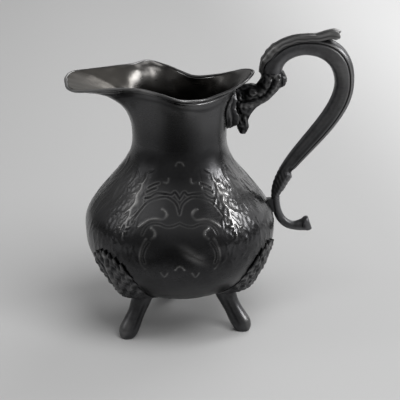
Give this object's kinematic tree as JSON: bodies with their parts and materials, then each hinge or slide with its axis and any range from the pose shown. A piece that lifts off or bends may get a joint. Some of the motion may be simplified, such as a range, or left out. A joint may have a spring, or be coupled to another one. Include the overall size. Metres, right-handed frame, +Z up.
{
  "type": "cream jug",
  "caption": "Footed cream jug of dark tarnished silvered metal with a round belly, narrow neck, broad helmet lip, cast scroll handle with leaf mounts and splayed pad feet.",
  "frame": {"origin": "point on the table directly under the body's axis, in the plane of the three soles", "axes": "+Z up along the body's axis, +X towards the handle, -X towards the spout"},
  "size_m": [0.1435, 0.0963, 0.1514],
  "materials": {
    "chased_body": "satin",
    "plain_neck": "satin",
    "worn_rim": "satin",
    "cast_handle": "satin",
    "cast_leaf": "satin",
    "cast_foot": "satin"
  },
  "bodies": {
    "root": {"lower_bowl": "chased_body", "upper_body": "chased_body", "mouth_and_spout": "plain_neck", "rim_wire": "worn_rim", "handle_near_half": "cast_handle", "handle_far_half": "cast_handle", "crown_leaf": "cast_leaf", "handle_bracket": "cast_leaf", "neck_palmette": "cast_leaf", "lower_solder_pad": "cast_leaf", "foot_near_spout": "cast_foot", "foot_near_handle": "cast_foot", "foot_back": "cast_foot", "leaf_near_spout": "cast_leaf", "leaf_near_handle": "cast_leaf", "leaf_back": "cast_leaf"}
  },
  "joints": []
}
